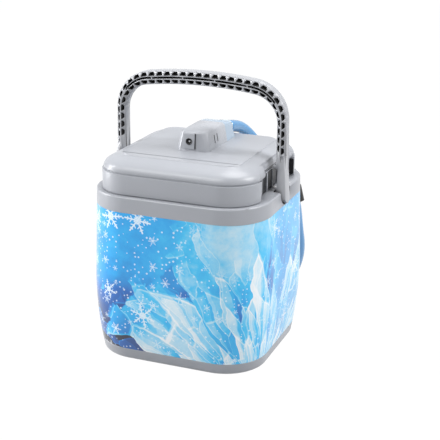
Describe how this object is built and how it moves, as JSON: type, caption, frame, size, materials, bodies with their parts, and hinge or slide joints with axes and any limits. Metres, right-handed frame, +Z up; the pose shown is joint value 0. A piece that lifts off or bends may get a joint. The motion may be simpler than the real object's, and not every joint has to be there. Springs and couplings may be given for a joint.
{
  "type": "hot cold therapy machine",
  "caption": "Insulated cooler bucket with a printed wrap, a bail handle and a domed lid that holds a submersible pump, with a coiled hose that carries chilled or warm water to a therapy pad.",
  "frame": {"origin": "on the floor, at the centre of the bucket's flat underside", "axes": "+Z up, -Y towards the front with the power socket, +X to the right side seen from the front"},
  "size_m": [0.27, 0.4334, 0.328],
  "materials": {
    "grey_plastic": "satin moulded grey",
    "handle_plastic": "satin moulded grey",
    "housing_plastic": "satin moulded grey",
    "printed_film": "glossy printed film in icy blues",
    "white_plastic": "smooth white",
    "shell_plastic": "moulded off-white",
    "foam": "rigid cream foam",
    "black_plastic": "black moulded",
    "blue_hose": "glossy blue flexible hose",
    "clear_plastic": "translucent moulding",
    "coupling_plastic": "moulded light grey",
    "button_plastic": "moulded blue",
    "steel": "bright steel",
    "seal_rubber": "soft black seal",
    "pump_plastic": "dark moulded",
    "tube_plastic": "clear tube",
    "cable_sheath": "black sheath"
  },
  "bodies": {
    "cooler": {"outer_shell": "shell_plastic", "printed_sleeve": "printed_film", "base_trim": "grey_plastic", "foam_insulation": "foam", "inner_liner": "white_plastic", "collar": "grey_plastic", "pivot_pins": "steel", "hose_clip": "black_plastic", "clip_screws": "steel", "hose_lower": "blue_hose", "hose_coil": "blue_hose", "hose_coupling": "coupling_plastic"},
    "lid": {"lid_base": "grey_plastic", "lid_cover": "grey_plastic", "lid_foam": "foam", "lid_plug": "white_plastic", "lid_gasket": "seal_rubber", "pump_housing": "housing_plastic", "housing_screws": "steel", "jack_plate": "housing_plastic", "dc_jack": "black_plastic", "jack_pin": "steel", "hose_gland": "clear_plastic", "hose_upper": "blue_hose", "pump_stem": "pump_plastic", "pump_motor": "pump_plastic", "pump_casing": "pump_plastic", "casing_screws": "steel", "intake_strainer": "pump_plastic", "supply_tube": "tube_plastic", "return_tube": "tube_plastic", "motor_lead": "cable_sheath"},
    "handle": {"bail_handle": "handle_plastic"},
    "impeller": {"impeller": "pump_plastic", "motor_shaft": "steel"},
    "coupling_button": {"coupling_button": "button_plastic"}
  },
  "joints": [
    {"name": "handle_swing", "type": "hinge", "parent": "cooler", "child": "handle", "pos_m": [0, 0, 0.1996], "axis": [1, 0, 0], "range_deg": [-35, 35]},
    {"name": "lid_lift", "type": "slide", "parent": "cooler", "child": "lid", "axis": [0, 0, 1], "range_m": [0, 0.025]},
    {"name": "impeller_spin", "type": "hinge", "parent": "lid", "child": "impeller", "pos_m": [0, 0.012, 0.05], "axis": [0, 0, 1], "continuous": true},
    {"name": "coupling_press", "type": "slide", "parent": "cooler", "child": "coupling_button", "axis": [0, 0, -1], "range_m": [0, 0.002], "stiffness_N_per_m": 400}
  ]
}
